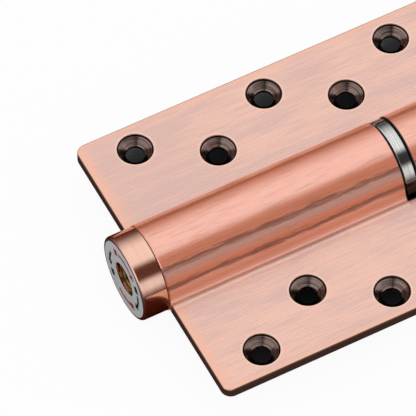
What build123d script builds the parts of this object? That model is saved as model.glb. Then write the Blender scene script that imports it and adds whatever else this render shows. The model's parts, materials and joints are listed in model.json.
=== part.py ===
from build123d import *
import math
import os

os.makedirs("parts", exist_ok=True)

# Damped, self-closing butt hinge, opened flat. X runs along the barrel, Y across the two leaves,
# and Z up, out of the screw faces. The origin lies under the middle of the barrel, at its lowest line.

# Leaves
leaf_length = 150.0
leaf_reach = 45.0            # from the pin axis to the outer edge of each leaf
leaf_thickness = 3.5
leaf_corner_radius = 3.0
leaf_edge_round = 0.4
inner_corner_radius = 1.5    # corner of the free edge beside the other barrel
axis_over_face = 0.5         # pin axis above the screw faces: half the gap between closed leaves
free_edge_clearance = 0.4    # between a barrel and the other leaf's free edge

# Screw holes
hole_count = 7
hole_pitch = 20.0
outer_row = 37.0
inner_row = 26.0
screw_hole_radius = 2.75
countersink_radius = 5.15
countersink_angle = 90.0
countersink_land = 0.2       # straight rim above the cone
countersink_edge_round = 0.12

# Barrels
barrel_radius = 12.5
barrel_wall = 2.5
root_web = 5.0               # flat of the leaf that is drawn with the barrel's section
root_round = 2.5             # where the screw face runs into the barrel
back_round = 1.0             # where the back face runs into the barrel
barrel_end_chamfer = 0.35
assembly_clearance = 0.05    # radial, round pieces that slide into a bore and stay there

# Centre ring
ring_width = 3.6
ring_inset = 0.25            # the ring's rim lies this far below the barrels'
ring_depth = 3.25            # from the ring's rim down to its boss
ring_gap = 0.25
ring_chamfer = 0.3

# End caps
cap_inset = 0.15             # the caps lie this far below the barrels
cap_length = 7.6
cap_rim_round = 0.9
cap_seam_width = 0.3
cap_seam_depth = 0.6
cap_face_recess = 0.25
cap_face_rim = 0.9           # width of the raised rim round the face
cap_hole_radius = 4.8
cap_spigot_length = 4.0
label_thickness = 0.18
label_edge_gap = 0.15
label_hole_margin = 0.3

# Valve block and speed adjuster
block_neck_radius = 7.0
block_neck_length = 4.5
block_neck_clearance = 0.2
block_flange_length = 2.5
block_spigot_length = 6.0
tapped_end_margin = 1.0      # solid flange left beyond the adjuster's bore
block_neck_end_gap = 0.3
seal_side_gap = 0.1          # between a round seal and each side of its groove
adjuster_head_radius = 4.55
adjuster_head_length = 5.4
adjuster_head_setback = 0.9
adjuster_mouth_radius = 3.95
adjuster_mouth_depth = 0.8
adjuster_socket_across_flats = 6.0
adjuster_socket_depth = 4.6
adjuster_shank_radius = 4.0
adjuster_shank_gap = 1.0     # room for the screw to travel inwards
adjuster_seal_section = 0.45
adjuster_seal_from_flange = 2.0
needle_radius = 1.5
needle_tip_radius = 0.3
needle_straight = 2.4
needle_tip_reach = 0.3       # how far the tip stands in the seat hole
seat_radius = 0.9
seat_length = 2.5
port_radius = 0.9
port_from_flange = 1.7
block_seal_section = 0.7
block_seal_from_chamber = 1.6

# Cylinder sleeve and piston
sleeve_wall = 1.45
chamber_reserve = 1.5        # oil space left when the leaves are closed
guide_slot_depth = 0.85
slot_end_room = 0.6
bypass_width = 2.0
bypass_depth = 0.7
bypass_end_margin = 5.0
piston_stroke = 9.0          # for half a turn of the leaves
piston_clearance = 0.05
piston_head_length = 6.0
skirt_clearance = 0.3
piston_seal_width = 2.0
piston_seal_depth = 1.4
piston_seal_from_face = 2.0
piston_seal_stand = 0.02     # the seal stands this far proud of the piston
pin_radius = 1.5
pin_clearance = 0.05
pin_end_clearance = 0.1
pin_from_skirt_end = 5.0
check_ball_radius = 1.4
check_chamber_clearance = 0.3
check_passage_radius = 1.0
check_passage_length = 1.6
check_seat_clearance = 0.02
check_retainer_length = 0.8
check_spring_radius = 0.85
check_spring_wire = 0.12
check_spring_turns = 2

# Cam spindle
cam_radius = 6.0
cam_end_margin = 3.0         # cam left beyond the pins when the leaves are closed
cam_shoulder = 3.0           # cam right of the pins when the leaves lie open
cam_groove_depth = 1.7
cam_groove_clearance = 0.22
cam_groove_overrun = 24.0    # degrees past each end of the travel
cam_end_gap = 1.0            # between the spindle's end and the inside of the piston
shaft_radius = 5.0
shaft_clearance = 0.03
collar_side_gap = 0.5        # between the thrust collar and the return spring
collar_length = 1.4
collar_gap = 0.1
drive_across_flats = 7.0
drive_clearance = 0.05
drive_socket_length = 18.0
drive_end_setback = 0.5

# Return spring
spring_wire_radius = 0.75
spring_side_gap = 0.6        # between the return spring and the sleeve
spring_turns = 5
spring_end_gap = 0.05

# Gland and its seals
gland_length = 7.0
gland_bore_clearance = 0.3
gland_seal_section = 0.8
gland_seal_from_face = 3.5
bush_radius = 6.3
bush_length = 3.8
lip_seal_radius = 7.2
lip_seal_length = 2.9
lip_seal_waist = 0.6
shoulder_length = 2.2
shoulder_bore_radius = 6.3

# Thrust bearing
ball_count = 10
race_thickness = 1.0
race_clearance = 0.03
race_shaft_gap = 0.8         # radial, between the races and the spindle's shaft
race_inset = 0.2             # the races' rim lies this far below the boss
race_pocket_clearance = 0.15
cage_thickness = 1.0
cage_inset = 0.15            # the cage is this much narrower than the races on each side
cage_rim = 0.25              # cage left on each side of a ball's pocket
cage_pocket_clearance = 0.1

# Drive side
barrel_wall_length = 3.2     # end wall of the door-side barrel
wall_bore_radius = 5.3
key_width = 3.0
key_height = 2.4
key_length = 14.0
key_clearance = 0.05
key_in_barrel = 1.1
washer_side_gap = 1.5        # between the washer and the barrel's bore
washer_thickness = 1.5
bolt_radius = 2.45
bolt_thread_length = 12.0
bolt_end_gap = 1.0           # empty end of the spindle's tapped hole
bolt_head_radius = 4.25
bolt_head_length = 5.0
bolt_socket_across_flats = 4.0
bolt_socket_depth = 2.8
blind_spigot_length = 8.0
blind_spigot_wall = 2.0

overcut = 1.0                # cutters reach this far past the faces they open

# Places worked out from the sizes, along the pin axis
axis_height = barrel_radius  # the pin axis above the lowest line, in the finished frame
face_height = -axis_over_face
back_height = face_height - leaf_thickness
free_edge = barrel_radius + free_edge_clearance
half_gap = ring_width / 2 + ring_gap
end_x = leaf_length / 2
barrel_bore_radius = barrel_radius - barrel_wall
fitted_radius = barrel_bore_radius - assembly_clearance
cap_radius = barrel_radius - cap_inset
ring_radius = barrel_radius - ring_inset
boss_radius = ring_radius - ring_depth
race_outer_radius = boss_radius - race_inset
race_inner_radius = shaft_radius + race_shaft_gap
cage_outer_radius = race_outer_radius - cage_inset
cage_inner_radius = race_inner_radius + cage_inset
ball_circle_radius = (race_outer_radius + race_inner_radius) / 2
ball_radius = (cage_outer_radius - cage_inner_radius) / 2 - cage_rim - cage_pocket_clearance
sleeve_bore_radius = fitted_radius - sleeve_wall
spring_mean_radius = sleeve_bore_radius - spring_side_gap - spring_wire_radius
collar_radius = spring_mean_radius - spring_wire_radius - collar_side_gap
washer_radius = barrel_bore_radius - washer_side_gap

cap_face_x = -end_x - cap_length
flange_x = -end_x + cap_spigot_length
sleeve_x = flange_x + block_flange_length
chamber_x = sleeve_x + block_spigot_length
piston_x = chamber_x + chamber_reserve + piston_stroke
piston_inside_x = piston_x + piston_head_length
cam_x = piston_inside_x + cam_end_gap
pin_x = cam_x + cam_end_margin + piston_stroke
skirt_end_x = pin_x + pin_from_skirt_end
cam_end_x = pin_x + cam_shoulder

ball_reach = ball_radius + race_clearance
ball_x = -half_gap - ball_reach
race_seat_x = ball_x - ball_reach - race_thickness
gland_end_x = race_seat_x - shoulder_length
gland_x = gland_end_x - gland_length
boss_x = -half_gap + race_thickness
socket_x = half_gap + barrel_wall_length
socket_end_x = socket_x + drive_socket_length
washer_end_x = socket_end_x + washer_thickness

adjuster_x = cap_face_x + adjuster_head_setback
adjuster_shank_x = adjuster_x + adjuster_head_length
tapped_end_x = sleeve_x - tapped_end_margin
shank_end_x = tapped_end_x - adjuster_shank_gap
seat_x = chamber_x - seat_length
port_x = sleeve_x + port_from_flange
adjuster_seal_x = flange_x - adjuster_seal_from_flange
block_seal_x = chamber_x - block_seal_from_chamber
piston_seal_x = piston_x + piston_seal_from_face
check_seat_x = piston_inside_x - check_passage_length
check_chamber_radius = check_ball_radius + check_chamber_clearance
ball_seat_drop = math.sqrt(check_ball_radius ** 2 - check_passage_radius ** 2)
check_ball_x = check_seat_x - ball_seat_drop - check_seat_clearance
gland_seal_x = gland_x + gland_seal_from_face
lip_seal_x = gland_end_x - lip_seal_length


def turned(*outline):
    """A solid turned about the pin axis from (x, radius) points."""
    return revolve(make_face(Polyline(*outline, close=True)), Axis.X)


def rod(start, end, radius):
    return turned((start, 0), (end, 0), (end, radius), (start, radius))


def tube(start, end, outer, inner):
    return turned((start, inner), (end, inner), (end, outer), (start, outer))


def round_ring(x, centre_radius, section_radius):
    return revolve(Pos(x, centre_radius) * Circle(section_radius), Axis.X)


def socket_cut(mouth, depth, across_flats):
    """A hexagonal recess that opens towards -X at mouth."""
    hexagon = RegularPolygon(across_flats / 2, 6, major_radius=False)
    return extrude(Plane.YZ.offset(mouth) * hexagon, amount=depth)


def square_bar(start, end, across_flats):
    return extrude(Plane.YZ.offset(start) * Rectangle(across_flats, across_flats), amount=end - start)


def round_edges(solid, x, radius):
    """The round edges of a solid at one place along the pin axis."""
    found = solid.edges().filter_by(GeomType.CIRCLE)
    return found.filter_by(lambda e: abs(e.arc_center.X - x) < 1e-4 and abs(e.radius - radius) < 1e-4)


def coil(start, length, mean_radius, wire_radius, turns):
    """A round wire wound about the pin axis."""
    wound = length - 2 * wire_radius
    path = Helix(pitch=wound / turns, height=wound, radius=mean_radius)
    section = Plane(origin=path @ 0, z_dir=path % 0) * Circle(wire_radius)
    return Pos(start + wire_radius, 0, 0) * Rot(0, 90, 0) * sweep(section, path, is_frenet=True)


def barrel_section():
    """Barrel and the root of its leaf, seen along the pin axis."""
    web_reach = barrel_radius + root_web
    web = Pos(-web_reach / 2, (face_height + back_height) / 2) * Rectangle(web_reach, leaf_thickness)
    section = Circle(barrel_radius) + web
    face_corner = section.vertices().filter_by(lambda v: abs(v.Y - face_height) < 1e-4).sort_by(Axis.X)[-1]
    section = fillet(face_corner, root_round)
    back_corner = section.vertices().filter_by(lambda v: abs(v.Y - back_height) < 1e-4).sort_by(Axis.X)[-1]
    return fillet(back_corner, back_round)


def leaf_plate():
    """Flat plate of one leaf, with the free edge that passes beside the other barrel."""
    width = leaf_reach - free_edge
    outline = Pos(0, -(leaf_reach + free_edge) / 2) * Rectangle(leaf_length, width)
    outer = outline.vertices().filter_by(lambda v: v.Y < -free_edge - width / 2)
    outline = fillet(outer, leaf_corner_radius)
    free = outline.vertices().filter_by(lambda v: v.X > 0 and abs(v.Y + free_edge) < 1e-4)
    outline = fillet(free, inner_corner_radius)
    return extrude(Plane.XY.offset(back_height) * outline, amount=leaf_thickness)


def countersunk_hole():
    """Cutter for one screw hole, with its mouth at the leaf's face."""
    cone_depth = (countersink_radius - screw_hole_radius) / math.tan(math.radians(countersink_angle / 2))
    neck = -countersink_land - cone_depth
    deep = -leaf_thickness - 1
    profile = Polyline((0, 1), (countersink_radius, 1), (countersink_radius, -countersink_land),
                       (screw_hole_radius, neck), (screw_hole_radius, deep), (0, deep), close=True)
    return Pos(0, 0, face_height) * revolve(Plane.XZ * make_face(profile), Axis.Z)


def leaf_blank():
    """A leaf that reaches towards -Y, with its barrel on the -X half."""
    barrel = extrude(Plane.YZ.offset(-end_x) * barrel_section(), amount=end_x - half_gap)
    blank = barrel + leaf_plate()
    blank = fillet(outer_rim(blank), leaf_edge_round)
    blank -= barrel_chamfer(-end_x, 1)
    blank -= barrel_chamfer(-half_gap, -1)
    for index in range(hole_count):
        x = (index - (hole_count - 1) / 2) * hole_pitch
        row = inner_row if index % 2 else outer_row
        blank -= Pos(x, -row, 0) * countersunk_hole()
    return fillet(hole_mouths(blank), countersink_edge_round)


def hole_mouths(blank):
    """Round edges where the screw holes open in the leaf's face."""
    circles = blank.edges().filter_by(GeomType.CIRCLE)
    level = circles.filter_by(lambda e: abs(e.arc_center.Z - face_height) < 1e-4)
    return level.filter_by(lambda e: abs(e.radius - countersink_radius) < 1e-4)


def barrel_chamfer(end, inward):
    """Cutter for one end of the barrel, left out where the leaf joins it."""
    outside = end - inward * overcut
    top = barrel_radius + overcut
    ring = turned((outside, barrel_radius - barrel_end_chamfer - overcut), (outside, top),
                  (end + inward * (barrel_end_chamfer + overcut), top))
    root_top = face_height + root_round
    root_bottom = back_height - back_round
    root = Pos(end, -barrel_radius, (root_top + root_bottom) / 2)
    return ring - root * Box(4 * overcut, 2 * barrel_radius, root_top - root_bottom)


def outer_rim(blank):
    """Edges of the screw face along the leaf's ends, corners and outer side."""
    inside = -free_edge - leaf_corner_radius
    level = blank.edges().filter_by(lambda e: abs(e.center().Z - face_height) < 1e-4)
    return level.filter_by(lambda e: e.center().Y < inside)


def near_leaf():
    """Frame leaf: its barrel holds the damper."""
    bore = rod(-end_x - overcut, gland_end_x, barrel_bore_radius)
    passage = rod(gland_end_x - overcut, -half_gap + overcut, shoulder_bore_radius)
    pocket = rod(race_seat_x, -half_gap + overcut, race_outer_radius + race_pocket_clearance)
    return leaf_blank() - bore - passage - pocket


def far_leaf():
    """Door leaf: its barrel holds the drive socket."""
    leaf = Rot(0, 0, 180) * leaf_blank()
    leaf += rod(boss_x, socket_x, boss_radius)
    leaf -= rod(boss_x - overcut, socket_x + overcut, wall_bore_radius)
    leaf -= rod(socket_x, end_x + overcut, barrel_bore_radius)
    keyway_height = barrel_bore_radius + key_in_barrel + key_clearance
    keyway = Pos((socket_x + end_x) / 2, 0, keyway_height / 2)
    return leaf - keyway * Box(end_x - socket_x, key_width + 2 * key_clearance, keyway_height)


def cap_body(face_x, spigot_end):
    """Turned end cap: rim, shallow face recess, seam groove and spigot."""
    seam_x = -end_x - cap_seam_width
    body = rod(face_x, seam_x, cap_radius) + rod(seam_x, -end_x, cap_radius - cap_seam_depth)
    body += rod(-end_x, spigot_end, fitted_radius)
    body = fillet(round_edges(body, face_x, cap_radius), cap_rim_round)
    return body - rod(face_x - overcut, face_x + cap_face_recess, cap_radius - cap_face_rim)


def damper_end_cap():
    neck_room = block_neck_length + block_neck_end_gap
    cap = cap_body(cap_face_x, flange_x) - rod(cap_face_x - overcut, flange_x, cap_hole_radius)
    return cap - rod(flange_x - neck_room, flange_x, block_neck_radius + block_neck_clearance)


def far_end_cap():
    spigot_end = -end_x + blind_spigot_length
    hollow = rod(-end_x, spigot_end, fitted_radius - blind_spigot_wall)
    return Rot(0, 0, 180) * (cap_body(cap_face_x, spigot_end) - hollow)


def speed_label():
    """Flat ring stuck in the face recess of the damper's cap."""
    seat = cap_face_x + cap_face_recess
    outer = cap_radius - cap_face_rim - label_edge_gap
    return tube(seat - label_thickness, seat, outer, cap_hole_radius + label_hole_margin)


def adjusting_screw():
    """Speed screw: cupped head with a hexagonal socket, and a shank with a groove for its seal."""
    screw = rod(adjuster_x, adjuster_shank_x, adjuster_head_radius)
    screw += rod(adjuster_shank_x, shank_end_x, adjuster_shank_radius)
    screw -= rod(adjuster_x, adjuster_x + adjuster_mouth_depth, adjuster_mouth_radius)
    screw -= socket_cut(adjuster_x, adjuster_socket_depth, adjuster_socket_across_flats)
    return screw - seal_groove(adjuster_seal_x, adjuster_shank_radius, adjuster_seal_section)


def adjuster_seal():
    centre = adjuster_shank_radius - adjuster_seal_section
    return round_ring(adjuster_seal_x, centre, adjuster_seal_section)


def needle_valve():
    straight_end = shank_end_x + needle_straight
    tip_x = seat_x + needle_tip_reach
    return turned((shank_end_x, 0), (tip_x, 0), (tip_x, needle_tip_radius),
                  (straight_end, needle_radius), (shank_end_x, needle_radius))


def valve_block():
    """Plug that closes the oil chamber, with the needle's guide, seat and side port."""
    spigot_radius = sleeve_bore_radius - assembly_clearance
    block = rod(flange_x - block_neck_length, flange_x, block_neck_radius)
    block += rod(flange_x, sleeve_x, fitted_radius)
    block += rod(sleeve_x, chamber_x, spigot_radius)
    block -= rod(flange_x - block_neck_length, tapped_end_x, adjuster_shank_radius + assembly_clearance)
    block -= rod(tapped_end_x, seat_x, needle_radius + assembly_clearance)
    block -= rod(seat_x, chamber_x, seat_radius)
    block -= seal_groove(block_seal_x, spigot_radius, block_seal_section)
    return block - Pos(port_x, 0, sleeve_bore_radius / 2) * Cylinder(port_radius, sleeve_bore_radius)


def seal_groove(x, radius, section):
    """Cutter for the groove of one round seal in an outer face."""
    half_width = section + seal_side_gap
    return tube(x - half_width, x + half_width, radius + overcut, radius - 2 * section)


def valve_block_seal():
    centre = sleeve_bore_radius - assembly_clearance - block_seal_section
    return round_ring(block_seal_x, centre, block_seal_section)


def cylinder_sleeve():
    """Oil cylinder with two straight guide slots for the pins and a bypass channel on top."""
    sleeve = tube(sleeve_x, gland_x, fitted_radius, sleeve_bore_radius)
    slot_start = pin_x - piston_stroke - pin_radius - slot_end_room
    slot_end = pin_x + pin_radius + slot_end_room
    slot_reach = 2 * (sleeve_bore_radius + guide_slot_depth)
    slot_width = 2 * (pin_radius + pin_clearance)
    sleeve -= Pos((slot_start + slot_end) / 2, 0, 0) * Box(slot_end - slot_start, slot_reach, slot_width)
    outlet_x = gland_x - bypass_end_margin
    channel_start = port_x - port_radius
    channel_end = outlet_x + port_radius
    channel = Pos((channel_start + channel_end) / 2, 0, fitted_radius)
    sleeve -= channel * Box(channel_end - channel_start, bypass_width, 2 * bypass_depth)
    for x in (port_x, outlet_x):
        wall = fitted_radius - sleeve_bore_radius
        sleeve -= Pos(x, 0, fitted_radius) * Cylinder(port_radius, 2 * (wall + overcut))
    return sleeve


def piston():
    """Piston head with its seal groove and check passage, and the skirt that carries the pins."""
    radius = sleeve_bore_radius - piston_clearance
    body = rod(piston_x, skirt_end_x, radius)
    body -= rod(piston_inside_x, skirt_end_x, cam_radius + skirt_clearance)
    seal_end = piston_seal_x + piston_seal_width
    body -= tube(piston_seal_x, seal_end, radius + overcut, radius - piston_seal_depth)
    body -= rod(piston_x, check_seat_x, check_chamber_radius)
    body -= rod(check_seat_x, piston_inside_x, check_passage_radius)
    return body - Pos(pin_x, 0, 0) * Rot(90, 0, 0) * Cylinder(pin_radius, 2 * (radius + overcut))


def piston_seal():
    radius = sleeve_bore_radius - piston_clearance
    end = piston_seal_x + piston_seal_width
    return tube(piston_seal_x, end, radius + piston_seal_stand, radius - piston_seal_depth)


def follower_pins():
    """Two pins that ride the cam grooves inside and the guide slots outside."""
    inner = cam_radius - cam_groove_depth + pin_end_clearance
    outer = sleeve_bore_radius + guide_slot_depth - pin_end_clearance
    pins = []
    for side in (-1, 1):
        place = Pos(pin_x, side * (inner + outer) / 2, 0)
        pins.append(place * Rot(90, 0, 0) * Cylinder(pin_radius, outer - inner))
    return Compound(pins)


def check_ball():
    return Pos(check_ball_x, 0, 0) * Sphere(check_ball_radius)


def check_retainer():
    """Perforated disc that holds the check spring in the piston's face."""
    disc = rod(piston_x, piston_x + check_retainer_length, check_chamber_radius)
    return disc - rod(piston_x, piston_x + check_retainer_length, check_passage_radius)


def check_spring():
    start = piston_x + check_retainer_length
    length = check_ball_x - check_ball_radius - start
    return coil(start, length, check_spring_radius, check_spring_wire, check_spring_turns)


def cam_groove(turn):
    """Cutter for one helical groove; turn is the angle of its pin when the leaves lie open."""
    lead = 2 * piston_stroke
    sweep_angle = 180 + 2 * cam_groove_overrun
    height = lead * sweep_angle / 360
    path = Helix(pitch=lead, height=height, radius=cam_radius)
    width = 2 * (pin_radius + cam_groove_clearance)
    start = Plane(origin=path @ 0, x_dir=(1, 0, 0), z_dir=path % 0)
    cutter = sweep(start * Rectangle(2 * cam_groove_depth, width), path, is_frenet=True)
    start_x = pin_x - piston_stroke - lead * cam_groove_overrun / 360
    start_turn = turn - 180 - cam_groove_overrun + 90
    return Pos(start_x, 0, 0) * Rot(start_turn, 0, 0) * Rot(0, 90, 0) * cutter


def cam_spindle():
    """Spindle: grooved cam, shaft, thrust collar and square drive end."""
    collar_end = gland_x - collar_gap
    drive_end = socket_end_x - drive_end_setback
    spindle = rod(cam_x, cam_end_x, cam_radius) + rod(cam_end_x, socket_x, shaft_radius)
    spindle += rod(collar_end - collar_length, collar_end, collar_radius)
    spindle += square_bar(socket_x, drive_end, drive_across_flats)
    spindle -= rod(socket_end_x - bolt_thread_length, drive_end, bolt_radius)
    for turn in (0, 180):
        spindle -= cam_groove(turn)
    return spindle


def return_spring():
    length = gland_x - skirt_end_x - 2 * spring_end_gap
    return coil(skirt_end_x + spring_end_gap, length, spring_mean_radius, spring_wire_radius, spring_turns)


def gland():
    """Closes the oil space round the spindle, and carries the bush and the lip seal."""
    body = tube(gland_x, gland_end_x, fitted_radius, shaft_radius + gland_bore_clearance)
    body -= rod(gland_x, gland_x + bush_length, bush_radius)
    body -= rod(lip_seal_x, gland_end_x, lip_seal_radius)
    return body - seal_groove(gland_seal_x, fitted_radius, gland_seal_section)


def gland_seal():
    return round_ring(gland_seal_x, fitted_radius - gland_seal_section, gland_seal_section)


def shaft_bush():
    return tube(gland_x, gland_x + bush_length, bush_radius, shaft_radius + shaft_clearance)


def shaft_seal():
    """Lip seal: a ring whose bore narrows to a lip at the shaft."""
    lip = shaft_radius + shaft_clearance
    middle = (lip_seal_x + gland_end_x) / 2
    return turned((lip_seal_x, lip), (lip_seal_x + lip_seal_waist, lip), (middle, lip + lip_seal_waist),
                  (gland_end_x, lip + lip_seal_waist), (gland_end_x, lip_seal_radius),
                  (lip_seal_x, lip_seal_radius))


def fixed_race():
    return tube(race_seat_x, race_seat_x + race_thickness, race_outer_radius, race_inner_radius)


def turning_race():
    return tube(-half_gap, boss_x, race_outer_radius, race_inner_radius)


def ball_places():
    for index in range(ball_count):
        yield Rot(index * 360 / ball_count, 0, 0) * Pos(ball_x, ball_circle_radius, 0)


def bearing_balls():
    return Compound([place * Sphere(ball_radius) for place in ball_places()])


def bearing_cage():
    cage = tube(ball_x - cage_thickness / 2, ball_x + cage_thickness / 2, cage_outer_radius, cage_inner_radius)
    pocket = Rot(0, 90, 0) * Cylinder(ball_radius + cage_pocket_clearance, 2 * cage_thickness)
    for place in ball_places():
        cage -= place * pocket
    return cage


def centre_ring():
    """Bright ring that sits on the far barrel's boss, between the two barrels."""
    half_width = ring_width / 2
    ring = tube(-half_width, half_width, ring_radius, boss_radius + assembly_clearance)
    edges = round_edges(ring, -half_width, ring_radius) + round_edges(ring, half_width, ring_radius)
    return chamfer(edges, ring_chamfer)


def key_room(clearance):
    """Space of the key in the drive socket, along the top of the bore."""
    height = key_height + clearance
    top = barrel_bore_radius + key_in_barrel
    length = key_length + 2 * clearance
    start = socket_x + (drive_socket_length - key_length) / 2
    return Pos(start + key_length / 2, 0, top - height / 2) * Box(length, key_width + 2 * clearance, height)


def drive_socket():
    """Block keyed into the door-side barrel, with a square hole for the spindle."""
    block = rod(socket_x, socket_end_x, fitted_radius)
    hole_across_flats = drive_across_flats + 2 * drive_clearance
    block -= square_bar(socket_x - overcut, socket_end_x + overcut, hole_across_flats)
    return block - key_room(key_clearance)


def drive_key():
    return key_room(0)


def retaining_washer():
    return tube(socket_end_x, washer_end_x, washer_radius, bolt_radius + assembly_clearance)


def retaining_bolt():
    """Screw up the end of the spindle that holds the two leaves together along the axis."""
    head_end = washer_end_x + bolt_head_length
    bolt = rod(socket_end_x - bolt_thread_length + bolt_end_gap, washer_end_x, bolt_radius)
    bolt += rod(washer_end_x, head_end, bolt_head_radius)
    return bolt - socket_cut(head_end - bolt_socket_depth, bolt_socket_depth, bolt_socket_across_flats)


pieces = {
    "near_leaf": near_leaf, "far_leaf": far_leaf, "damper_end_cap": damper_end_cap,
    "far_end_cap": far_end_cap, "speed_label": speed_label, "adjusting_screw": adjusting_screw,
    "adjuster_seal": adjuster_seal, "needle_valve": needle_valve, "valve_block": valve_block,
    "valve_block_seal": valve_block_seal, "cylinder_sleeve": cylinder_sleeve, "piston": piston,
    "piston_seal": piston_seal, "follower_pins": follower_pins, "check_ball": check_ball,
    "check_retainer": check_retainer, "check_spring": check_spring, "cam_spindle": cam_spindle,
    "return_spring": return_spring, "gland": gland, "gland_seal": gland_seal,
    "shaft_bush": shaft_bush, "shaft_seal": shaft_seal, "fixed_race": fixed_race,
    "turning_race": turning_race, "bearing_balls": bearing_balls, "bearing_cage": bearing_cage,
    "centre_ring": centre_ring, "drive_socket": drive_socket, "drive_key": drive_key,
    "retaining_washer": retaining_washer, "retaining_bolt": retaining_bolt,
}

for name, make in pieces.items():
    piece = Pos(0, 0, axis_height) * make()
    piece.label = name
    export_step(piece, os.path.join("parts", name + ".step"))
    print(name, round(piece.volume, 2))
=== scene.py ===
import json
import math

import bmesh
import bpy
from mathutils import Matrix, Vector


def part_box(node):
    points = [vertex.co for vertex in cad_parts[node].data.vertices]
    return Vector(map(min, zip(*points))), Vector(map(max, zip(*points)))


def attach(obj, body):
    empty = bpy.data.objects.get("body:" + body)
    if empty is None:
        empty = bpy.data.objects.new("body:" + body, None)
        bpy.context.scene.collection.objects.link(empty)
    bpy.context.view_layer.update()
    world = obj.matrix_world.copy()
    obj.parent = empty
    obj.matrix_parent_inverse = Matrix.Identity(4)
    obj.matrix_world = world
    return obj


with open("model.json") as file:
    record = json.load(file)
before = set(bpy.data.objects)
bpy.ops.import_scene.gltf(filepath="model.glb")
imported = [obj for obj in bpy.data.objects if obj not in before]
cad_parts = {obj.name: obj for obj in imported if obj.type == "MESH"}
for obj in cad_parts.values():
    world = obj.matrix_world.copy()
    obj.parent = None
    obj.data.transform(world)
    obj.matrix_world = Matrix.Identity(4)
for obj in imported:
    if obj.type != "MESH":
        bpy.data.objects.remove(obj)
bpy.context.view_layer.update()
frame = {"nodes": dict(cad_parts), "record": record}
print("frame loaded:", len(frame["nodes"]), "nodes")

# Units are metres. X runs along the pin axis, Y across the leaves, Z out of the screw faces.
mm = 0.001
leafLow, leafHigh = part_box("near_leaf")
capLow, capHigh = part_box("damper_end_cap")
labelLow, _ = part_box("speed_label")

hinge = {
    "axis": leafHigh.z / 2,            # height of the pin axis
    "barrel": leafHigh.z / 2,          # radius of the barrels
    "cap": (capHigh.y - capLow.y) / 2,
    "reach": -leafLow.y,               # from the pin axis to a leaf's outer edge
    "end": -leafLow.x,
    "axisOverFace": 0.5 * mm,
    "thickness": 3.5 * mm,             # of a leaf
    "holePitch": 20 * mm,
    "outerRow": 37 * mm,
    "innerRow": 26 * mm,
    "sink": 5.15 * mm,                 # radius of a countersink's mouth
}
hinge["face"] = hinge["axis"] - hinge["axisOverFace"]
hinge["back"] = hinge["face"] - hinge["thickness"]
black, white = (0.0, 0.0, 0.0), (1.0, 1.0, 1.0)


class Wire:
    # One value in a node tree. Arithmetic on wires and numbers adds Math nodes.
    def __init__(self, nodes, socket):
        self.nodes = nodes
        self.socket = socket

    def math(self, operation, *others):
        return self.nodes.make("Math", {"operation": operation}, dict(enumerate((self, *others))))

    def __add__(self, other):
        return self.math("ADD", other)

    def __sub__(self, other):
        return self.math("SUBTRACT", other)

    def __mul__(self, other):
        return self.math("MULTIPLY", other)

    def __truediv__(self, other):
        return self.math("DIVIDE", other)

    def __rsub__(self, other):
        return (self * -1) + other

    __radd__ = __add__
    __rmul__ = __mul__

    def __abs__(self):
        return self.math("ABSOLUTE")

    def least(self, other):
        return self.math("MINIMUM", other)

    def most(self, other):
        return self.math("MAXIMUM", other)

    def rise(self, start, end):
        # 0 at start and 1 at end, smooth between them, whichever is larger
        return self.nodes.make("MapRange", {"interpolation_type": "SMOOTHSTEP"},
                               {"Value": self, "From Min": start, "From Max": end})

    def window(self, start, full, last, end):
        # 0 up to start, 1 from full to last, 0 again from end
        return self.rise(start, full) * self.rise(end, last)

    def band(self, start, end, soft):
        # 1 from start to end, fading to 0 within soft outside them
        return self.window(start - soft, start, end, end + soft)

    def between(self, low, high):
        return self * (high - low) + low

    def about(self, middle, spread):
        # from half of spread below middle to half of it above
        return self * spread + (middle - spread / 2)

    def blend(self, first, second):
        # a colour: first where this value is 0, second where it is 1
        return self.nodes.make("Mix", {"data_type": "RGBA"}, {0: self, 6: first, 7: second}, 2)


class Nodes:
    # The node tree of one material or of the world
    def __init__(self, owner):
        owner.use_nodes = True
        self.tree = owner.node_tree
        self.tree.nodes.clear()

    def make(self, kind, settings=None, sockets=None, output=0):
        node = self.tree.nodes.new("ShaderNode" + kind)
        for name, value in (settings or {}).items():
            setattr(node, name, value)
        for place, value in (sockets or {}).items():
            socket = node.inputs[place]
            if isinstance(value, Wire):
                self.tree.links.new(value.socket, socket)
            elif socket.type == "RGBA":
                socket.default_value = (*value, 1)
            else:
                socket.default_value = value
        return Wire(self, node.outputs[output])

    def split(self, vector):
        return [self.make("SeparateXYZ", {}, {0: vector}, i) for i in range(3)]

    def noise(self, x, y, z, detail=3, roughness=0.55):
        spot = self.make("CombineXYZ", {}, {0: x, 1: y, 2: z})
        return self.make("TexNoise", {}, {"Vector": spot, "Scale": 1.0, "Detail": detail,
                                          "Roughness": roughness}, "Fac")

    def ray(self, kind):
        return self.make("LightPath", {}, {}, f"Is {kind} Ray")

    def bump(self, height, depth):
        return self.make("Bump", {}, {"Height": height, "Distance": depth, "Strength": 1.0}, "Normal")

    def principled(self, **sockets):
        named = {name.replace("_", " "): value for name, value in sockets.items()}
        return self.make("BsdfPrincipled", {}, named)

    def glow(self, colour):
        return self.make("Emission", {}, {"Color": colour, "Strength": 1.0})

    def mixed(self, amount, first, second):
        return self.make("MixShader", {}, {0: amount, 1: first, 2: second})

    def output(self, surface, kind="OutputMaterial"):
        node = self.tree.nodes.new("ShaderNode" + kind)
        self.tree.links.new(surface.socket, node.inputs["Surface"])


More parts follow.
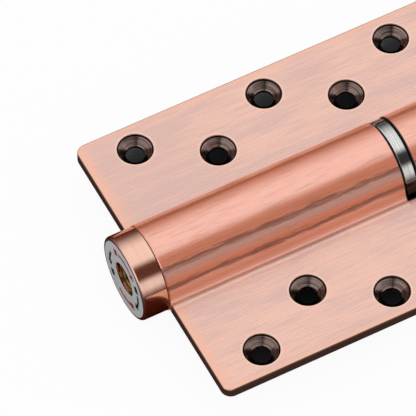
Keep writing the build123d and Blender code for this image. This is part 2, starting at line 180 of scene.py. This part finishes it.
class Finish(Nodes):
    # A material, with Object coordinates and what is worked out from them
    def __init__(self, name):
        self.material = bpy.data.materials.new(name)
        super().__init__(self.material)
        self.x, self.y, self.z = self.split(self.make("TexCoord", {}, {}, "Object"))
        self.lift = self.z - hinge["axis"]
        self.radius = hypotenuse(self.y, self.lift)
        # degrees round the pin axis, from the top towards the near leaf
        self.turn = (self.y * -1).math("ARCTAN2", self.lift) * (180 / math.pi)

    def alongBrush(self, length, width, detail=3):
        # noise drawn out along X
        return self.noise(self.x / length, self.y / width, self.z / width, detail)

    def roundBrush(self, width, arc=50):
        # noise drawn out round the pin axis, over arc degrees
        return self.noise(self.x / width, abs(self.turn) / arc, self.radius / width)


def hypotenuse(a, b):
    return (a * a + b * b).math("SQRT")


def holeDistance(x, y):
    # distance from the centre of the nearest screw hole, on either leaf
    pitch, across = hinge["holePitch"], abs(y)
    outer = hypotenuse((x - pitch).math("PINGPONG", pitch), across - hinge["outerRow"])
    inner = hypotenuse(x.math("PINGPONG", pitch), across - hinge["innerRow"])
    # the inner row would repeat just past the leaf's end, where there is no hole
    inner = inner + abs(x).rise(3 * pitch, 3.5 * pitch)
    return outer.least(inner)


copper = {
    "leaf": (0.87, 0.34, 0.19), "lilac": (0.62, 0.23, 0.15), "polished": (0.92, 0.28, 0.07),
    "barrel": (0.99, 0.27, 0.12), "rim": (1.0, 0.50, 0.32),
    "bodyMetallic": 0.15, "bodyRoughness": 0.5,
    "shine": (1.0, 0.96, 0.93), "shineShare": 0.35, "leafShine": 0.28, "barrelShine": 0.2, "shineSpread": 0.1,
    "root": (0.6 * mm, 1.4 * mm),      # how far outside the barrel the leaf's finish begins and is full
    # the brushing's noises: length along X and width
    "streaks": (11 * mm, 0.5 * mm), "clouds": (30 * mm, 5 * mm), "hair": (5 * mm, 0.16 * mm),
    "softDetail": 2, "grainDepth": 0.03 * mm,
    "lilacMix": (0.5, 0.35, 0.15), "lilacRange": (0.42, 0.60),
    "aged": (-20 * mm, -70 * mm), "agedShare": 0.5,    # the far leaf is more lilac towards the speed screw
    # polished this far in from the outer edge and the ends, and this far round a hole
    "glowSide": 2.4 * mm, "glowEnd": 5 * mm, "glowHole": 0.7 * mm,
    "scratchRange": (0.5, 0.6), "scratchDepth": 0.25,
    # painted reflection bands and shade round the barrel, set by angle round the pin axis, the last one
    # darkening its lower side: place and half width in degrees, and depth
    "paintedBands": [(-33, 3, 0.45), (42, 2, 0.72), (50, 3.5, 0.52),
              (59, 3, 0.3), (67, 2, 0.72), (85, 18, 0.15)],
    "lineFade": 3, "lineWander": 7, "wander": (35 * mm, 8 * mm), "wanderDetail": 1,
    "lineFray": 21, "frayMix": (0.65, 0.35),
    # a painted dimmer reflection between these degrees round the barrel, where the shine's share falls
    "paintedDim": (55, 64), "paintedDimShare": 0.7,
    "gap": (2.5 * mm, 2.3 * mm),       # painted shade: the barrels are black this near the middle, where the ring sits
}
patina = {
    "edge": (0.16, 0.08, 0.06), "edgeMetallic": 0.5, "edgeRoughness": 0.34,
    # the plating ends between these depths under the face, and a painted dark reflection starts this near the
    # outer edges
    "edgeDepth": (0.2 * mm, 0.35 * mm),
    "sink": (0.36, 0.26, 0.23), "sinkDark": (0.06, 0.035, 0.03), "sinkMetallic": 1.0, "sinkRoughness": 0.17,
    "sinkStart": (0.3 * mm, 0.2 * mm), "mouthFade": 0.1 * mm,    # outside and inside a countersink's mouth
    "overBack": (0.05 * mm, 0.2 * mm),     # the countersink's look starts this far above the back
    # turning marks: width, and how far along X they change
    "marks": 0.18 * mm, "marksDrift": 9 * mm, "marksDetail": 2, "marksRange": (0.35, 0.65),
    "outline": (0.012, 0.007, 0.006), "outlineWidth": 0.4 * mm, "outlineFade": 0.1 * mm,
}


def makeCopperPlate():
    m = Finish("copperPlate")
    streaks = m.alongBrush(*copper["streaks"])
    clouds = m.alongBrush(*copper["clouds"], copper["softDetail"])
    hair = m.alongBrush(*copper["hair"], copper["softDetail"])
    fine = hair * 0.5 + streaks * 0.5
    start, full = copper["root"]
    onLeaf = abs(m.y).rise(hinge["barrel"] + start, hinge["barrel"] + full)
    hole = holeDistance(m.x, m.y)
    pastSink = hole - hinge["sink"]
    fromSide, fromEnd = abs(m.y) - hinge["reach"], abs(m.x) - hinge["end"]

    # plating: lilac streaks, and orange where edges and holes were polished
    streakShare, cloudShare, hairShare = copper["lilacMix"]
    lilac = (streaks * streakShare + clouds * cloudShare + hair * hairShare).rise(*copper["lilacRange"])
    aged = m.x.rise(*copper["aged"]) * m.y.rise(0, hinge["barrel"])
    lilac = (lilac + aged * copper["agedShare"]).least(1) * onLeaf
    polished = fromSide.rise(-copper["glowSide"], 0).most(fromEnd.rise(-copper["glowEnd"], 0))
    plating = onLeaf.blend(copper["barrel"], lilac.blend(copper["leaf"], copper["lilac"]))
    plating = (polished * onLeaf).blend(plating, copper["polished"])
    plating = pastSink.rise(copper["glowHole"], 0).blend(plating, copper["rim"])

    # darker scratches, and painted reflection bands and shade along the barrel by angle round the pin axis
    hairShare, streakShare = copper["frayMix"]
    wander = m.turn + m.alongBrush(*copper["wander"], copper["wanderDetail"]).about(0, copper["lineWander"])
    wander = wander + (hair * hairShare + streaks * streakShare).about(0, copper["lineFray"])
    dark = fine.rise(*copper["scratchRange"]) * copper["scratchDepth"]
    # painted reflection bands and shade, by angle round the pin axis
    for place, half, depth in copper["paintedBands"]:
        dark = dark.most(wander.band(place - half, place + half, copper["lineFade"]) * depth)
    # painted shade in the gap at the middle, where the ring sits
    dark = dark.most(abs(m.x).rise(*copper["gap"])) * (1 - onLeaf)
    # painted dimmer reflection: less shine in this band round the barrel
    paintedDim = wander.band(*copper["paintedDim"], copper["lineFade"]) * (1 - onLeaf)
    share = copper["shineShare"] * (1 - dark) * (1 - paintedDim * copper["paintedDimShare"])

    grain = m.bump(fine, copper["grainDepth"])
    body = m.principled(Base_Color=dark.blend(plating, black), Metallic=copper["bodyMetallic"],
                        Roughness=copper["bodyRoughness"], Normal=grain)
    rough = hair.about(onLeaf.between(copper["barrelShine"], copper["leafShine"]), copper["shineSpread"])
    shine = m.principled(Base_Color=copper["shine"], Metallic=1.0, Roughness=rough, Normal=grain)

    # bare dark bronze on the edges and the back, and in the countersinks
    overBack = (m.z - hinge["back"]).rise(*patina["overBack"])
    inSink = pastSink.rise(*patina["sinkStart"]) * overBack
    shallow, deep = patina["edgeDepth"]
    # painted dark reflection along the rounded outer edges and ends
    corner = fromSide.most(fromEnd).rise(-deep, -shallow)
    mouth = pastSink.rise(0, -patina["mouthFade"])
    below = (m.z - hinge["face"]).rise(-shallow, -deep).most(mouth).most(corner) * onLeaf
    rings = m.noise(hole / patina["marks"], m.z / patina["marks"], m.x / patina["marksDrift"],
                    patina["marksDetail"])
    sink = rings.rise(*patina["marksRange"]).blend(patina["sink"], patina["sinkDark"])
    outline = pastSink.band(-patina["outlineWidth"], 0, patina["outlineFade"]) * overBack
    bare = outline.blend(inSink.blend(patina["edge"], sink), patina["outline"])
    bronze = m.principled(Base_Color=bare,
                          Metallic=inSink.between(patina["edgeMetallic"], patina["sinkMetallic"]),
                          Roughness=inSink.between(patina["edgeRoughness"], patina["sinkRoughness"]))
    m.output(m.mixed(below, m.mixed(share, body, shine), bronze))
    return m.material


cap = {
    "shine": (1.0, 0.97, 0.92), "metal": (1.0, 0.46, 0.26), "metalDark": (0.9, 0.34, 0.16),
    "body": (0.6, 0.05, 0.01), "seam": (0.03, 0.015, 0.012), "shineShare": 0.42, "bodyShare": 0.13,
    "shineRoughness": 0.1, "metalRoughness": 0.2, "bodyRoughness": 0.6, "roughSpread": 0.1,
    "fineRings": 0.25 * mm, "broadRings": 1.6 * mm, "ringsRange": (0.38, 0.62), "grainDepth": 0.008 * mm,
    "seamDepth": (-0.1 * mm, -0.3 * mm), "seamHalf": 0.5 * mm, "seamFade": 0.1 * mm,
}


def makeCopperCap():
    m = Finish("copperCap")
    rings = m.roundBrush(cap["fineRings"])
    broad = m.roundBrush(cap["broadRings"])
    metal = (rings * 0.5 + broad * 0.5).rise(*cap["ringsRange"]).blend(cap["metal"], cap["metalDark"])
    inSeam = (m.radius - hinge["cap"]).rise(*cap["seamDepth"])
    inSeam = inSeam * (abs(m.x) - hinge["end"]).band(-cap["seamHalf"], cap["seamHalf"], cap["seamFade"])
    grain = m.bump(rings, cap["grainDepth"])
    body = m.principled(Base_Color=inSeam.blend(cap["body"], cap["seam"]),
                        Roughness=cap["bodyRoughness"], Normal=grain)
    bright = m.principled(Base_Color=inSeam.blend(metal, cap["seam"]), Metallic=1.0,
                          Roughness=rings.about(cap["metalRoughness"], cap["roughSpread"]), Normal=grain)
    shine = m.principled(Base_Color=inSeam.blend(cap["shine"], cap["seam"]), Metallic=1.0,
                         Roughness=rings.about(cap["shineRoughness"], cap["roughSpread"]), Normal=grain)
    m.output(m.mixed(cap["bodyShare"], m.mixed(cap["shineShare"], bright, shine), body))
    return m.material


ring = {
    "colour": (0.86, 0.85, 0.83), "worn": (0.58, 0.57, 0.54), "wornRange": (0.35, 0.65),
    "rings": 0.2 * mm, "roughness": 0.16, "roughSpread": 0.08, "grainDepth": 0.006 * mm,
    # painted shade where it meets the leaves, between these degrees
    "paintedShade": (0.05, 0.035, 0.028), "paintedShadeSpans": [(-60, -42), (68, 100)], "paintedShadeFade": 6,
}


def makeBrightRing():
    m = Finish("brightRing")
    rings = m.roundBrush(ring["rings"])
    colour = rings.rise(*ring["wornRange"]).blend(ring["colour"], ring["worn"])
    # painted shade near the leaves, by angle round the pin axis
    for start, end in ring["paintedShadeSpans"]:
        colour = m.turn.band(start, end, ring["paintedShadeFade"]).blend(colour, ring["paintedShade"])
    m.output(m.principled(Base_Color=colour, Metallic=1.0,
                          Roughness=rings.about(ring["roughness"], ring["roughSpread"]),
                          Normal=m.bump(rings, ring["grainDepth"])))
    return m.material


film = {
    "colour": (0.76, 0.78, 0.79), "mottle": (0.69, 0.71, 0.73), "mottleRange": (0.35, 0.65),
    "grain": (1 * mm, 0.8 * mm), "grainDepth": 0.01 * mm, "roughness": 0.45, "roughSpread": 0.1,
}


def makeLabelFilm():
    m = Finish("labelFilm")
    mottle = m.alongBrush(*film["grain"])
    m.output(m.principled(Base_Color=mottle.rise(*film["mottleRange"]).blend(film["colour"], film["mottle"]),
                          Roughness=mottle.about(film["roughness"], film["roughSpread"]),
                          Normal=m.bump(mottle, film["grainDepth"])))
    return m.material


labelInk = {
    "colours": {"red": (0.52, 0.03, 0.045), "black": (0.018, 0.018, 0.02)}, "roughness": 0.45,
    "patches": (1 * mm, 0.3 * mm), "patchRange": (0.5, 0.75), "fade": 0.25,
}


def makeInk(name, colour):
    m = Finish(name)
    fade = labelInk["fade"]
    faded = tuple((1 - fade) * c + fade * f for c, f in zip(colour, film["colour"]))
    patchy = m.alongBrush(*labelInk["patches"]).rise(*labelInk["patchRange"])
    m.output(m.principled(Base_Color=patchy.blend(colour, faded), Roughness=labelInk["roughness"]))
    return m.material


# turned or ground metal: fine rings round the pin axis
turned = {
    "rings": 0.3 * mm, "wear": 0.78, "wornRange": (0.3, 0.7), "roughSpread": 0.1, "grainDepth": 0.006 * mm,
}


def makeTurned(name, colour, roughness):
    m = Finish(name)
    rings = m.roundBrush(turned["rings"])
    worn = tuple(turned["wear"] * c for c in colour)
    m.output(m.principled(Base_Color=rings.rise(*turned["wornRange"]).blend(colour, worn), Metallic=1.0,
                          Roughness=rings.about(roughness, turned["roughSpread"]),
                          Normal=m.bump(rings, turned["grainDepth"])))
    return m.material


# bright turned rim, painted shade in the socket and a dark line where the screw meets the cap
brass = {
    "turned": (0.80, 0.52, 0.22), "roughness": 0.34, "roughSpread": 0.12,
    "socket": (0.10, 0.05, 0.02), "socketRadius": 3.5 * mm,
    "outline": (0.02, 0.012, 0.008), "outlineRadius": 4.3 * mm, "fade": 0.2 * mm,
}


def makeBrass():
    m = Finish("adjusterBrass")
    rings = m.roundBrush(turned["rings"])
    # painted shade inside the socket
    inSocket = m.radius.rise(brass["socketRadius"] + brass["fade"], brass["socketRadius"])
    atOutline = m.radius.rise(brass["outlineRadius"] - brass["fade"], brass["outlineRadius"])
    colour = inSocket.blend(brass["turned"], brass["socket"])
    m.output(m.principled(Base_Color=atOutline.blend(colour, brass["outline"]), Metallic=1.0,
                          Roughness=rings.about(brass["roughness"], brass["roughSpread"]),
                          Normal=m.bump(rings, turned["grainDepth"])))
    return m.material


# rubber or plastic: a faint mottle and moulding grain
moulded = {
    "grain": (0.4 * mm, 0.4 * mm), "grainDepth": 0.01 * mm, "mottleRange": (0.3, 0.7),
    "mottleShare": 0.85, "mottleLift": 0.02, "roughSpread": 0.1,
}


def makeMoulded(name, colour, roughness):
    m = Finish(name)
    grain = m.alongBrush(*moulded["grain"])
    mottle = tuple(moulded["mottleShare"] * c + moulded["mottleLift"] for c in colour)
    m.output(m.principled(Base_Color=grain.rise(*moulded["mottleRange"]).blend(colour, mottle),
                          Roughness=grain.about(roughness, moulded["roughSpread"]),
                          Normal=m.bump(grain, moulded["grainDepth"])))
    return m.material


# one finish for each material slot, with colour and roughness where the look is shared
finishes = {
    "copper_plate": makeCopperPlate(),
    "copper_cap": makeCopperCap(),
    "bright_ring": makeBrightRing(),
    "label_film": makeLabelFilm(),
    "adjuster_brass": makeBrass(),
    "ground_steel": makeTurned("groundSteel", (0.66, 0.66, 0.67), 0.18),
    "machined_steel": makeTurned("machinedSteel", (0.52, 0.52, 0.53), 0.3),
    "machined_aluminium": makeTurned("machinedAluminium", (0.78, 0.79, 0.80), 0.3),
    "bearing_steel": makeTurned("bearingSteel", (0.82, 0.82, 0.83), 0.1),
    "spring_steel": makeTurned("springSteel", (0.42, 0.42, 0.44), 0.28),
    "bush_bronze": makeTurned("bushBronze", (0.62, 0.42, 0.22), 0.35),
    "seal_rubber": makeMoulded("sealRubber", (0.02, 0.02, 0.02), 0.6),
    "seal_plastic": makeMoulded("sealPlastic", (0.62, 0.60, 0.52), 0.45),
    "cage_plastic": makeMoulded("cagePlastic", (0.62, 0.56, 0.38), 0.45),
}
for part in frame["record"]["subparts"]:
    slots = frame["nodes"][part["node"]].data.materials
    slots.clear()
    slots.append(finishes[part["material_slot"]])


def addObject(name, data):
    made = bpy.data.objects.new(name, data)
    bpy.context.scene.collection.objects.link(made)
    return made


def addPiece(name, mesh, finish, body):
    data = bpy.data.meshes.new(name)
    bmesh.ops.recalc_face_normals(mesh, faces=mesh.faces)
    mesh.to_mesh(data)
    mesh.free()
    data.materials.append(finish)
    made = addObject(name, data)
    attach(made, body)


# Marks on the label, by angle in degrees from the top towards the near leaf
marks = {
    "radius": 8.3 * mm, "width": 0.95 * mm, "height": 0.02 * mm, "step": 3,
    "headLength": 14, "headWidth": 2.6 * mm,
    "arcs": [("redArcUpper", "red", -22, 30), ("blackArcNear", "black", 74, 112),
             ("redArcLower", "red", 200, 152), ("blackArcFar", "black", 292, 262)],
    "ticks": [("blackTickNear", "black", 52, 68), ("blackTickFar", "black", 226, 240),
              ("redTickUpper", "red", -42, -28), ("redTickLower", "red", 138, 144)],
}


def markPoint(mesh, angle, radius):
    turn = math.radians(angle)
    return mesh.verts.new((labelLow.x, -radius * math.sin(turn), hinge["axis"] + radius * math.cos(turn)))


def makeMark(name, ink, start, end, width, arrow):
    mesh = bmesh.new()
    low, high = marks["radius"] - width / 2, marks["radius"] + width / 2
    edge = mesh.edges.new((markPoint(mesh, start, low), markPoint(mesh, start, high)))
    swept = bmesh.ops.spin(mesh, geom=[edge, *edge.verts], cent=(labelLow.x, 0, hinge["axis"]),
                           axis=(1, 0, 0), angle=math.radians(end - start),
                           steps=max(2, round(abs(end - start) / marks["step"])))
    if arrow:
        inner, outer = [v for v in swept["geom_last"] if isinstance(v, bmesh.types.BMVert)]
        half = marks["headWidth"] / 2
        tip = markPoint(mesh, end + math.copysign(marks["headLength"], end - start), marks["radius"])
        low, high = markPoint(mesh, end, marks["radius"] - half), markPoint(mesh, end, marks["radius"] + half)
        for face in ((low, inner, tip), (inner, outer, tip), (outer, high, tip)):
            mesh.faces.new(face)
    raised = bmesh.ops.extrude_face_region(mesh, geom=mesh.faces[:])["geom"]
    raised = [v for v in raised if isinstance(v, bmesh.types.BMVert)]
    bmesh.ops.translate(mesh, verts=raised, vec=(-marks["height"], 0, 0))
    addPiece(name, mesh, inks[ink], "frame_side")


inks = {name: makeInk(name + "Ink", colour) for name, colour in labelInk["colours"].items()}
for name, ink, start, end in marks["arcs"]:
    makeMark(name, ink, start, end, marks["width"], True)
for name, ink, start, end in marks["ticks"]:
    makeMark(name, ink, start, end, 2 * marks["width"], False)
print("label marks made")


# White surroundings with dark flags, so that round metal shows bright and dark bands.
# Angles are in degrees from straight up towards the near side.
studio = {
    "overhead": (-95, -32, 4, 23), "front": (46, 63, 74, 100),    # white panels: start, full, full, end
    "frontLevel": 0.88,
    "ends": (0.42, 0.75), "endsLift": (-0.1, 0.15),    # white past these shares of X and above these of Z
    "flag": 0.02,
    "fill": (0.5, 1.08), "fillLift": (-0.1, 0.9),      # soft light on what isn't glossy, from below to above
}


def makeStudio():
    world = bpy.data.worlds.new("studio")
    bpy.context.scene.world = world
    w = Nodes(world)
    x, y, z = w.split(w.make("TexCoord", {}, {}, "Generated"))
    tip = (y * -1).math("ARCTAN2", z) * (180 / math.pi)
    panels = tip.window(*studio["overhead"]).most(tip.window(*studio["front"]) * studio["frontLevel"])
    ends = abs(x).rise(*studio["ends"]) * z.rise(*studio["endsLift"])
    panels = panels.most(ends).most(studio["flag"])
    background = w.ray("Camera").most(w.ray("Transmission"))
    mirrored = w.ray("Glossy") * (1 - background)
    light = z.rise(*studio["fillLift"]).between(*studio["fill"])
    strength = background + mirrored * panels + (1 - background) * (1 - mirrored) * light
    w.output(w.make("Background", {}, {"Color": white, "Strength": strength}), "OutputWorld")


floor = {
    "size": 6.0, "paper": (0.82, 0.82, 0.82), "shaded": (0.03, 0.032, 0.034), "roughness": 0.8,
    "whiteShare": 0.94,
    # painted shadow under the hinge: dark where only the first share of the space within reach is clear, pale
    # at the second
    "coverReach": 25 * mm, "coverSamples": 16, "clearShare": (0.62, 0.92),
    "underLength": (72 * mm, 67 * mm), "underWidth": (-39.4 * mm, -38 * mm, 47 * mm, 53 * mm),
    # within this distance of the hinge the floor throws less light back on it
    "around": (120 * mm, 60 * mm), "bounceLoss": 0.8,
    # what metal mirrors: grey in front and past the ends, dark near the hinge
    "mirrored": (30 * mm, 600 * mm), "mirroredEnd": (0.0, 150 * mm), "mirroredLevel": 0.35,
}


def makeFloor():
    data = bpy.data.meshes.new("floor")
    mesh = bmesh.new()
    bmesh.ops.create_grid(mesh, x_segments=1, y_segments=1, size=floor["size"] / 2)
    mesh.to_mesh(data)
    mesh.free()
    made = addObject("floor", data)
    m = Finish("paleFloor")
    pastEnd = abs(m.x) - hinge["end"]
    clear = m.make("AmbientOcclusion", {"samples": floor["coverSamples"]},
                   {"Distance": floor["coverReach"]}, "AO")
    # painted shadow under the hinge, from how much of the space round each point is clear
    under = 1 - clear.rise(*floor["clearShare"])
    under = under * abs(m.x).rise(*floor["underLength"]) * m.y.window(*floor["underWidth"])
    beside = pastEnd.most(abs(m.y)).rise(*floor["around"])
    shade = under.most(beside * (1 - m.ray("Camera")) * floor["bounceLoss"])
    colour = shade.blend(floor["paper"], floor["shaded"])
    paper = m.principled(Base_Color=colour, Roughness=floor["roughness"])
    seen = (m.ray("Camera") + m.ray("Transmission")) * (1 - under) * floor["whiteShare"]
    mirrored = (m.y * -1).rise(*floor["mirrored"]).most(pastEnd.rise(*floor["mirroredEnd"]))
    mirrored = mirrored * floor["mirroredLevel"] * m.ray("Glossy")
    m.output(m.mixed(m.ray("Glossy"), m.mixed(seen.least(1), paper, m.glow(white)),
                     m.glow(mirrored.blend(black, white))))
    data.materials.append(m.material)


# Angles in degrees, target and distance in metres
camera = {
    "azimuth": -27.3170, "elevation": 55.9234, "roll": -0.4610,
    "target": (-0.0514264, 0.0102937, 0.012), "distance": 1.638274, "clip": (0.1, 20),
    "focalPixels": 6000.15, "imagePixels": 416, "sensorWidth": 36,
}


def makeCamera():
    data = bpy.data.cameras.new("camera")
    made = addObject("camera", data)
    azimuth, elevation = math.radians(camera["azimuth"]), math.radians(camera["elevation"])
    back = Vector((math.sin(azimuth) * math.cos(elevation), -math.cos(azimuth) * math.cos(elevation),
                   math.sin(elevation)))
    roll = Matrix.Rotation(math.radians(camera["roll"]), 3, "Z")
    turn = (-back).to_track_quat("-Z", "Y").to_matrix() @ roll
    made.rotation_mode = "QUATERNION"
    made.rotation_quaternion = turn.to_quaternion()
    made.location = Vector(camera["target"]) + back * camera["distance"]
    data.sensor_width = camera["sensorWidth"]
    data.lens = camera["focalPixels"] * camera["sensorWidth"] / camera["imagePixels"]
    data.clip_start, data.clip_end = camera["clip"]
    bpy.context.scene.camera = made


makeStudio()
makeFloor()
makeCamera()
bpy.context.scene.view_settings.view_transform = "Standard"
print("studio, floor and camera ready")
